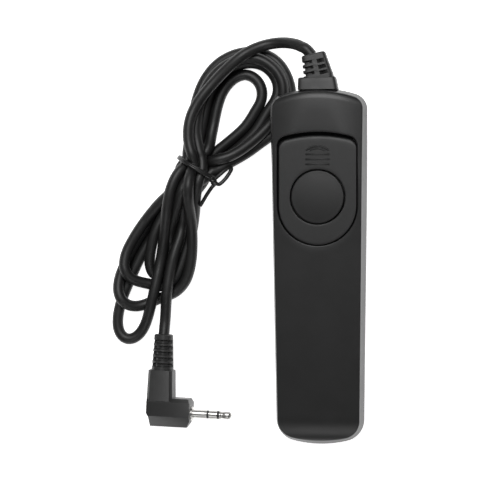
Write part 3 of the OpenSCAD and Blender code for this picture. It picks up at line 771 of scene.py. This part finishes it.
doorway = closed_part(brick((-4.9, 4.9), (46, 51), (8.9, 13.1), 0.05))
tail_post, head_post = rod((0, TAIL_SCREW), POST_R, 5.3, 10.95), rod((0, HEAD_SCREW), POST_R, 8.9, 12.1)
latch = brick((-2.4, 2.4), (31.9, 36), (11.25, 11.8), 0.1)
front_shell = make_piece("front_moulding", [
    cut_away(closed_part(front_skin(), loop=True), [doorway]),
    *[closed_part(rings) for rings in (tail_post, head_post, latch)],
], "housing_plastic")
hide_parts("front_shell")


# %% Back shell
BACK_ROUND, ROOM_ROUND = 3.2, 2.4


def back_skin():
    """Rings of the back moulding, from the parting line down over the round edge, and back inside."""
    edge = housing_outline(-FLARE)
    y = edge[:, 1]
    high = split(y) - SEAM
    rings = [ring(housing_outline(SEAM - FLARE), split(y)), ring(edge, high)]
    round_edge = np.minimum(BACK_ROUND, high - back_height(y) - 0.2)
    side_low = back_height(y) + round_edge
    rings += blend_rings(rings[-1], ring(housing_outline(0), side_low), (0.4, 0.8))
    for a in np.linspace(0, np.pi / 2, 10):
        flat = housing_outline(BACK_ROUND * (1 - np.cos(a)))
        rings.append(ring(flat, back_height(flat[:, 1]) + round_edge * (1 - np.sin(a))))
    middle = np.c_[0 * y, np.clip(y, -46, 46)]
    for flat in blend_rings(housing_outline(BACK_ROUND), middle, np.append(FACE_STEPS[3:], 1)):
        rings.append(ring(flat, back_height(flat[:, 1])))
    return rings


def room_skin():
    """Rings of the back moulding's inside, from the middle of its floor out to the parting line."""
    room = housing_outline(WALL)
    middle = np.c_[0 * room[:, 1], np.clip(room[:, 1], -44, 44)]
    rings = []
    for s in np.linspace(0, 1, 16):
        flat = (1 - s) * middle + s * housing_outline(WALL + ROOM_ROUND)
        rings.append(ring(flat, inner_floor(flat[:, 1])))
    for a in np.linspace(0, np.pi / 2, 6)[1:]:
        flat = housing_outline(WALL + ROOM_ROUND * (1 - np.sin(a)))
        rings.append(ring(flat, inner_floor(flat[:, 1]) + ROOM_ROUND * (1 - np.cos(a))))
    rings.append(ring(room, split(room[:, 1])))
    return rings


def inner_floor(y):
    """Height of the floor inside the back moulding."""
    return lift(y) + WALL + quarter(-45 - y, 4, 1.8)


SCREWS = ((TAIL_SCREW, 2.6), (HEAD_SCREW, 6.2))
WELL_R, WELL_CUT_R, HOLE_R, BOSS_R, BOSS_HIGH = 2.15, 2.2, 1.2, 3.4, 2.6


def screw_boss(y, seat):
    """A closed tube of revolution: a wide well from below up to the seat, and a narrow hole above it."""
    low, high = lift(y) + 0.5, seat + BOSS_HIGH
    profile = [(WELL_R, low), (WELL_R, seat), (HOLE_R, seat), (HOLE_R, high), (BOSS_R, high), (BOSS_R, low)]
    a = np.linspace(0, 2 * np.pi, 48, endpoint=False)
    return [ring(np.array([0, y]) + r * np.stack([np.cos(a), np.sin(a)], axis=1), z) for r, z in profile]


wells = [closed_part(rod((0, y), WELL_CUT_R, -1, lift(y) + 3)) for y, _ in SCREWS]
back_shell = make_piece("back_moulding", [
    cut_away(closed_part(back_skin()[::-1] + room_skin()[::-1], fans=False), [doorway, *wells]),
    *[closed_part(screw_boss(y, seat), loop=True) for y, seat in SCREWS],
], "housing_plastic")
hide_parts("back_shell")


# %% [markdown]
# The lock slider and its button. The slider is a flat plate, wide and slightly curved towards the
# cord, and half round at its near end, with a round hole for the button. The edge that goes under the
# hood rolls down further than the others. On its face stands an arrow over three bars, and two hooks a
# side grip the ledge under it. The plate is one ring of skin round the button's hole, and the button
# is a profile turned round its own axis, which keeps it exactly round.

# %% Lock slider
BUTTON_AT, BUTTON_R, SLIDE_GAP = np.array([0, 19.7]), 7.5, 0.22
PLATE_THICK, PLATE_APEX = 1.6, 37.4
ROLL_FROM, ROLL_LONG = 33, 3.4
BARS, BAR_HALF, MARK_R = (28.9, 30.3, 31.7), 3.4, 0.25
HOOKS, HOOK_LONG, HOOK_LOW, HOOK_IN = (12, 25), 2.4, 10.75, 8.2


def circle(centre, radius, angle):
    return centre + radius * np.stack([np.cos(angle), np.sin(angle)], axis=1)


def slider_skin():
    """Rings from the hole's lower rim up, over the plate's face to its edge, down, and back underneath.
    The edge rolls over a width and a depth that grow towards the hood."""
    edge = plate_outline(PLATE_APEX, 0)
    out = edge - plate_outline(PLATE_APEX, -1)
    far = np.clip((edge[:, 1:] - ROLL_FROM) / ROLL_LONG, 0, 1)
    roll = far**2 * (3 - 2 * far)
    width, depth = 0.35 + 1.1 * roll, 0.3 + 0.5 * roll[:, 0]
    way = edge - BUTTON_AT
    angle = np.arctan2(way[:, 1], way[:, 0])
    hole = BUTTON_R + SLIDE_GAP
    low = PLATE_TOP - PLATE_THICK
    rings = [ring(circle(BUTTON_AT, hole, angle), low + 0.02)]
    for a in QUARTER_TURN:
        rim = circle(BUTTON_AT, hole + 0.3 * (1 - np.cos(a)), angle)
        rings.append(ring(rim, PLATE_TOP - 0.3 * (1 - np.sin(a))))
    face = blend_rings(circle(BUTTON_AT, hole + 0.3, angle), edge - width * out, np.linspace(0, 1, 12)[1:-1])
    rings += [ring(flat, PLATE_TOP) for flat in face]
    for a in QUARTER_TURN[::-1]:
        rings.append(ring(edge - width * (1 - np.cos(a)) * out, PLATE_TOP - depth * (1 - np.sin(a))))
    rings += [ring(edge, low + 0.1), ring(edge - 0.1 * out, low)]
    under = blend_rings(edge - 0.1 * out, circle(BUTTON_AT, hole + 0.1, angle), (0.5, 1))
    return rings + [ring(flat, low) for flat in under]


def arrow_parts():
    """Three bars and a bent arrowhead, a quarter millimetre proud of the plate. The arrowhead's line is
    lower by a share of the square of its distance from the middle."""
    bars = [closed_part(brick((-BAR_HALF, BAR_HALF), (y - MARK_R, y + MARK_R), (14.2, 14.65), 0.12))
            for y in BARS]
    heads = []
    for top, half in ((34.0, 3.2), (33.3, 2.2)):
        x = np.linspace(-half, half, 25)
        line = np.stack([x, top - 1.25 * (x / 3.2) ** 2, np.full(25, 14.4)], axis=1)
        heads.append(closed_part(tube_rings(line, MARK_R, 10)))
    return bars + heads


def hook_parts():
    """Four hooks: an upright through the opening and a foot under the ledge."""
    parts = []
    for y in HOOKS:
        for side in (-1, 1):
            for reach, top in ((8.95, 12.9), (10.1, 11.35)):
                across = sorted((side * HOOK_IN, side * reach))
                parts.append(closed_part(brick(across, (y, y + HOOK_LONG), (HOOK_LOW, top), 0.08)))
    return parts


slider = make_piece("slider_plate", [closed_part(slider_skin(), loop=True), *arrow_parts(), *hook_parts()],
                    "slider_plastic", "slider")
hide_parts("lock_slider")


# %% Shutter button
def turned(profile, place, sides=96):
    """Rings of a profile of (radius, along) points turned round an axis. Place maps the two directions
    across and the one along it into the object's frame."""
    a = np.linspace(0, 2 * np.pi, sides, endpoint=False)
    r, t = np.asarray(profile, float).T[:, :, None]
    return place(r * np.cos(a), r * np.sin(a), t + 0 * a)


def upright_at(x, y):
    return lambda across, back, along: np.stack([x + across, y + back, along], axis=-1)


def round_over(radius, top, fillet, steps=7):
    """Profile points of a rounded rim, from the flat top out and down to the side."""
    a = np.linspace(np.pi / 2, 0, steps)
    return [(radius - fillet * (1 - np.cos(t)), top - fillet * (1 - np.sin(t))) for t in a]


RIM, DOME = PLATE_TOP + 0.1, 0.25
FLANGE_TOP, FLANGE_R, STEM_END = 12.65, 8.4, 9.4
dome = [(r, RIM + DOME * (1 - (r / BUTTON_R) ** 2)) for r in np.linspace(0.2, 6.9, 14)]
rim_top = RIM + DOME * (1 - (6.95 / BUTTON_R) ** 2)
button_profile = dome + round_over(BUTTON_R, rim_top, 0.35) + [
    (BUTTON_R, FLANGE_TOP), (FLANGE_R, FLANGE_TOP), (FLANGE_R, FLANGE_TOP - 0.6), (1.5, FLANGE_TOP - 0.6),
    (1.5, STEM_END + 0.7), (0.7, STEM_END)]
button = make_piece("button_cap", [
    closed_part(turned(button_profile, upright_at(*BUTTON_AT))),
    closed_part(brick((-2.6, 2.6), (BUTTON_AT[1] + BUTTON_R - 1, BUTTON_AT[1] + FLANGE_R + 1.3),
                      (FLANGE_TOP - 0.6, FLANGE_TOP), 0.08)),
], "button_plastic", "button")
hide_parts("shutter_button")


# %% [markdown]
# The strain relief. It is moulded round the cord from softer PVC: a block that fills the doorway, then
# a bendable neck of ribs with slots cut from either side, joined by a spine in the middle. Cutting
# slots with a Boolean would work, but the neck leans and narrows. So its skin is a radius that depends
# on the angle round the cord and on the distance along it: where a slot is, the radius drops from the
# rounded rectangle of the rib to the core and the thin web beside it, except along the spine.

# %% Strain relief
RELIEF_Z, RELIEF_LEAN, RELIEF_LONG = 11.0, np.radians(13), 6.6
LEFT_SLOTS, RIGHT_SLOTS, RIGHT_RIM = (1.25, 2.85, 4.45), (0.75, 2.4, 4.15), 3.1
NECK_FROM, NECK_Y, CORE_R = -1.2, 53.7, 1.95


def squircle(a, half_width, half_height, power=6):
    """Radius of a rounded rectangle at the angle a: the two sides' distances added as high powers."""
    wide, high = np.abs(np.cos(a) / half_width), np.abs(np.sin(a) / half_height)
    return (wide**power + high**power) ** (-1 / power)


def step_in(x, centre, half_width, soft=0.07):
    """1 inside a band round the centre and 0 outside, with a short smooth step at either side."""
    t = np.clip((half_width - np.abs(x - centre)) / soft * 0.5 + 0.5, 0, 1)
    return t * t * (3 - 2 * t)


def relief_neck():
    """Rings of the ribbed neck. Distance along it runs down the rows and the angle across the columns."""
    end_rows = RELIEF_LONG - 0.3 * (1 - np.cos(QUARTER_TURN))
    s = np.unique(np.r_[np.linspace(NECK_FROM, RELIEF_LONG, 140), end_rows])[:, None]
    a = np.linspace(0, 2 * np.pi, 144, endpoint=False)
    share = np.clip(s, 0, None) / RELIEF_LONG
    rib = squircle(a, 4.15 - 0.8 * share, 2.6 - 0.25 * share)
    web = squircle(a, 3.6 - 0.8 * share, 1.3, 8)
    slot = np.maximum(np.maximum(CORE_R, web), squircle(a, 0.88, 2.58 - 0.25 * share, 12))
    left = sum(step_in(s, at, 0.38) for at in LEFT_SLOTS) * (np.cos(a) < 0)
    right = sum(step_in(s, at, 0.48) for at in RIGHT_SLOTS) * (np.cos(a) >= 0)
    right = right * np.clip((RIGHT_RIM - 0.6 * share - rib * np.cos(a)) / 0.2, 0, 1)
    cut = np.clip(left + right, 0, 1)
    end = 1 - 0.1 * np.clip((s - RELIEF_LONG + 0.3) / 0.3, 0, 1) ** 2
    radius = ((1 - cut) * rib + cut * np.minimum(slot, rib)) * end
    across, up = radius * np.cos(a), radius * np.sin(a)
    x = -s * np.sin(RELIEF_LEAN) + across * np.cos(RELIEF_LEAN)
    y = NECK_Y + s * np.cos(RELIEF_LEAN) + across * np.sin(RELIEF_LEAN)
    return np.stack([x, y, RELIEF_Z + up + 0 * s], axis=-1)


def relief_block():
    """Rings of the block outside the doorway: rounded rectangles that narrow on the right and in height."""
    a = np.linspace(0, 2 * np.pi, 144, endpoint=False)
    rows = []
    for y, inset in ((50.02, 0.0), (50.6, 0.0), (52.2, 0.0), (53.3, 0.0), (53.6, 0.08), (53.78, 0.3)):
        share = (y - 50) / 3.8
        low, high = -5.8 + 0.1 * share + inset, 5.6 - 0.8 * share - inset
        r = squircle(a, (high - low) / 2, 2.9 - 0.3 * share - inset, 8)
        x = (low + high) / 2 + r * np.cos(a)
        rows.append(np.stack([x, y + share * 0.04 * (x - 5), RELIEF_Z + r * np.sin(a)], axis=-1))
    return np.array(rows)


relief = make_piece("relief_moulding", [
    closed_part(relief_neck()),
    closed_part(relief_block()),
    closed_part(brick((-6.4, 6.4), (46.2, 47.7), (8.3, 14.2), 0.2)),
    closed_part(brick((-4.8, 4.8), (47.6, 50.2), (9, 13), 0.2)),
], "relief_pvc", sharp=50)
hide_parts("strain_relief")


# %% [markdown]
# The plug. Its housing is a moulded elbow with flat facets and small round edges. The CAD solid
# already has those facets, so a copy of it is cleaned and bevelled. The boot over the cord is worked
# out like the strain relief, with five grooves all round between two spines, and the metal pieces of
# the pin are turned profiles that meet face to face with black insulating rings between them.

# %% Plug housing
PLUG_AT, PLUG_TURN, PIN_Z = np.array([-46.6, -42.1]), np.radians(-2.3), 4.2


def on_plug(x, y, z):
    """A point of the plug's own frame, which has its pin along x and its boot along y."""
    c, s = np.cos(PLUG_TURN), np.sin(PLUG_TURN)
    return np.stack([PLUG_AT[0] + c * x - s * y, PLUG_AT[1] + s * x + c * y, z + 0 * x], axis=-1)


def bevelled_copy(node, name, slot_name, width):
    """A copy of a CAD node with its loose triangles merged, flat faces joined, and its edges rounded."""
    obj = bpy.data.objects.new(name, frame["nodes"][node].data.copy())
    bpy.context.scene.collection.objects.link(obj)
    shape = bmesh.new()
    shape.from_mesh(obj.data)
    bmesh.ops.remove_doubles(shape, verts=shape.verts, dist=2e-6)
    bmesh.ops.dissolve_limit(shape, angle_limit=np.radians(2), verts=shape.verts, edges=shape.edges)
    shape.to_mesh(obj.data)
    shape.free()
    obj.data.polygons.foreach_set("use_smooth", np.ones(len(obj.data.polygons), bool))
    rounding = obj.modifiers.new("rounding", "BEVEL")
    rounding.width, rounding.segments, rounding.limit_method = width * MM, 3, "ANGLE"
    rounding.angle_limit = np.radians(24)
    rounding.harden_normals = True
    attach(obj, "housing")
    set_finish(obj, slot_name)
    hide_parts(node)
    print(name, "has", len(obj.data.polygons), "faces before its bevel")
    return obj


elbow = bevelled_copy("plug_housing", "plug_elbow", "plug_pvc", 0.22)


# %% Plug boot
BOOT_FROM, BOOT_TO = 12.2, 22.5
GROOVES, FIRST_GROOVE, GROOVE_PITCH, GROOVE_DEEP = 5, 13.7, 1.68, 1.0


def boot_skin():
    """Rings of the boot: its radius shrinks towards the cord and drops in each groove, but not on the
    spine at either side."""
    t = np.linspace(BOOT_FROM, BOOT_TO, 190)[:, None]
    a = np.linspace(0, 2 * np.pi, 96, endpoint=False)
    share = (t - BOOT_FROM) / (BOOT_TO - BOOT_FROM)
    full = 3.2 - 0.5 * share + 0 * a
    cut = sum(step_in(t, FIRST_GROOVE + GROOVE_PITCH * i, 0.46, 0.12) for i in range(GROOVES))
    spine = squircle(a, full - 0.2 * (np.cos(a) < 0), 0.8, 8)
    groove = np.maximum(full - GROOVE_DEEP, np.minimum(spine, full))
    radius = (1 - cut) * full + cut * groove
    radius = radius - 0.35 * np.clip((t - BOOT_TO + 0.35) / 0.35, 0, 1) ** 2
    return on_plug(0.02 + radius * np.cos(a), t + 0 * a, PIN_Z + radius * np.sin(a))


boot = make_piece("boot", [closed_part(boot_skin())], "plug_pvc", sharp=60)
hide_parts("plug_boot")


# %% Pin
PIN_R, NOSE_R, NOSE_FROM, NOSE_LONG = 1.25, 1.2, 19.7, 1.1


def along_pin(across, up, along):
    return on_plug(along, across, PIN_Z + up)


def ferrule(start, end, radius, chamfer=0.05):
    """Profile of a short solid cylinder with a small chamfer at either end."""
    return [(0.02, start), (radius - chamfer, start), (radius, start + chamfer), (radius, end - chamfer),
            (radius - chamfer, end), (0.02, end)]


nose = [(NOSE_R * np.cos(t) + 0.02, NOSE_FROM + NOSE_LONG * np.sin(t))
        for t in np.linspace(0, np.pi / 2 - 0.05, 12)]
tip = [(0.02, 17.15), (PIN_R - 0.04, 17.15), (PIN_R, 17.2), (PIN_R, 17.45), (1.06, 17.8), (1.04, 18.05),
       (1.1, 18.4), (1.2, 18.8), *nose]
for name, node, slot_name, profiles in (
    ("pin_collar", "plug_collar", "plated_steel", [ferrule(8.6, 9.45, 2.05, 0.12)]),
    ("pin_sleeve", "plug_sleeve", "plated_steel", [ferrule(9.4, 13.55, PIN_R)]),
    ("pin_ring", "plug_ring", "plated_steel", [ferrule(14.15, 16.55, PIN_R)]),
    ("pin_tip", "plug_tip", "plated_steel", [tip]),
    ("pin_insulators", "plug_insulators", "insulator",
     [ferrule(start, start + 0.6, NOSE_R, 0.02) for start in (13.55, 16.55)]),
):
    piece = make_piece(name, [closed_part(turned(p, along_pin, 64)) for p in profiles], slot_name)
    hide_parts(node)


# %% [markdown]
# The twist tie. A plastic-covered wire goes twice round the hank's waist, its ends are twisted
# together, and what is left stands off as a loop and a tail. Each stretch is a line of points worked
# out from the waist's own directions, smoothed, and given a round section, because a bent wire has
# the same thickness everywhere.

# %% Twist tie
TIE_R, END_R, WRAP_R, WRAP_FROM, WRAPS = 0.46, 0.56, 6.05, 158, 2


def on_tie(across, along, z):
    """A point beside the hank's waist, from its distances across and along the bundle, at height z."""
    across, along, z = np.broadcast_arrays(across, along, z)
    flat = TIE_CENTRE + across[..., None] * TIE_ACROSS + along[..., None] * TIE_ALONG
    return np.stack([flat[..., 0], flat[..., 1], z], axis=-1)


turn = np.radians(np.linspace(WRAP_FROM, WRAP_FROM + 360 * WRAPS, 150))
wraps = on_tie(WRAP_R * np.cos(turn), np.linspace(-0.45, 0.45, 150),
               np.maximum(TIE_CENTRE[2] + WRAP_R * np.sin(turn), TIE_R))
knot_from, knot_to = np.array([-31.4, 25.7, 8.6]), np.array([-29.9, 23.4, 8.2])
knot_way = (knot_to - knot_from) / np.linalg.norm(knot_to - knot_from)
knot_side = np.cross(knot_way, UP)
knot_side /= np.linalg.norm(knot_side)
knot_up = np.cross(knot_side, knot_way)


def twisted(phase):
    """One of the two ends wound round the other: a helix of one and a half turns."""
    t = np.linspace(0, 1, 40)[:, None]
    a = 3 * np.pi * t + phase
    return knot_from + t * (knot_to - knot_from) + TIE_R * (np.cos(a) * knot_side + np.sin(a) * knot_up)


LOOP = [(-28.9, 23.5, 8.2), (-27.4, 24.8, 7.8), (-26, 26.9, 7), (-25.6, 28.1, 6.4), (-26.4, 28.3, 5.9),
        (-27.6, 27.6, 5.7), (-28.9, 26.5, 5.9), (-30.3, 25.2, 6.6)]
LEG = [(-30.9, 22.8, 8.2), (-32.4, 20.7, 8), (-33.9, 18.4, 7.4), (-34.6, 17.4, 7.2)]
ends = [smooth_route(np.vstack([twisted(phase)[::6], rest]), 0.3)
        for phase, rest in ((0, LOOP), (np.pi, LEG))]
tie = make_piece("twist_tie_wire", [
    closed_part(tube_rings(smooth_route(wraps, 0.4), TIE_R, 12)),
    *[closed_part(tube_rings(end, END_R, 12)) for end in ends],
], "tie_plastic", sharp=80)
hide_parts("twist_tie")


# %% [markdown]
# Metals, wires and the inside. The pin is nickel plated, the contact leaves are spring brass with
# silver points, the screws and the clamp plate are zinc plated, and the solder is dull. They differ
# in colour, in gloss, and in which way their fine scratches run. The pieces inside the housing keep
# their CAD meshes: they are plain pressed and turned parts, and no finer shape is known for them.

# %% Metals and wires
def metal(colour, gloss, scratch_mm, stretch, depth_mm, stain=0.25):
    """Plated or rolled metal: long fine scratches, and patches where the plating is duller."""
    def build(place):
        drawn = place.out("ShaderNodeMapping", Vector=place, Scale=stretch)
        scratch = drawn.noise(scratch_mm, 2.0, 0.6)
        patch = place.noise(3.5, 4.0, 0.6).ramp(0.4, 0.75)
        dull = tuple(c * 0.72 for c in colour[:3]) + (1,)
        return {
            "Base_Color": (patch * stain).mix(colour, dull),
            "Roughness": (gloss + 0.12 * (scratch - 0.5) + 0.1 * patch).clamp(),
            "Normal": scratch.bump(depth_mm),
        }
    return build


def wire_cover(colour):
    """Thin insulation of one colour, slightly uneven, with dark marks from handling."""
    def build(place):
        uneven = place.noise(2.2, 3.0)
        marks = place.noise(0.8, 4.0, 0.65).ramp(0.62, 0.78)
        dark = tuple(c * 0.55 for c in colour[:3]) + (1,)
        return {
            "Base_Color": (marks * 0.5).mix(colour, dark),
            "Roughness": (0.42 + 0.15 * (uneven - 0.5)).clamp(),
            "Normal": uneven.bump(0.02),
        }
    return build


finish("plated_steel", metal((0.6, 0.59, 0.57, 1), 0.3, 0.3, (1, 6, 6), 0.003, 0.15), Metallic=1.0)
finish("zinc_steel", metal((0.62, 0.64, 0.66, 1), 0.34, 0.25, (1, 1, 5), 0.004), Metallic=1.0)
finish("spring_brass", metal((0.72, 0.5, 0.2, 1), 0.28, 0.3, (6, 1, 6), 0.003), Metallic=1.0)
finish("solder", metal((0.6, 0.61, 0.63, 1), 0.38, 0.5, (1, 1, 1), 0.02, 0.4), Metallic=1.0)
finish("wire_bare_tan", wire_cover((0.5, 0.36, 0.18, 1)))
finish("wire_red", wire_cover((0.48, 0.035, 0.025, 1)))
finish("wire_white", wire_cover((0.78, 0.76, 0.72, 1)))


# %% Every piece gets the finish of its slot
node_slots = {part["node"]: part["material_slot"] for part in frame["record"]["subparts"]}
for node, obj in frame["nodes"].items():
    obj.data.materials.clear()
    obj.data.materials.append(FINISHES[node_slots[node]])
made = [o for o in bpy.data.objects if o.get("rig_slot")]
for obj in made:
    obj.data.materials.clear()
    obj.data.materials.append(FINISHES[obj["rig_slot"]])
kept = [node for node, obj in frame["nodes"].items() if not obj.hide_render]
print("new pieces:", len(made), "CAD pieces kept:", ", ".join(sorted(kept)))
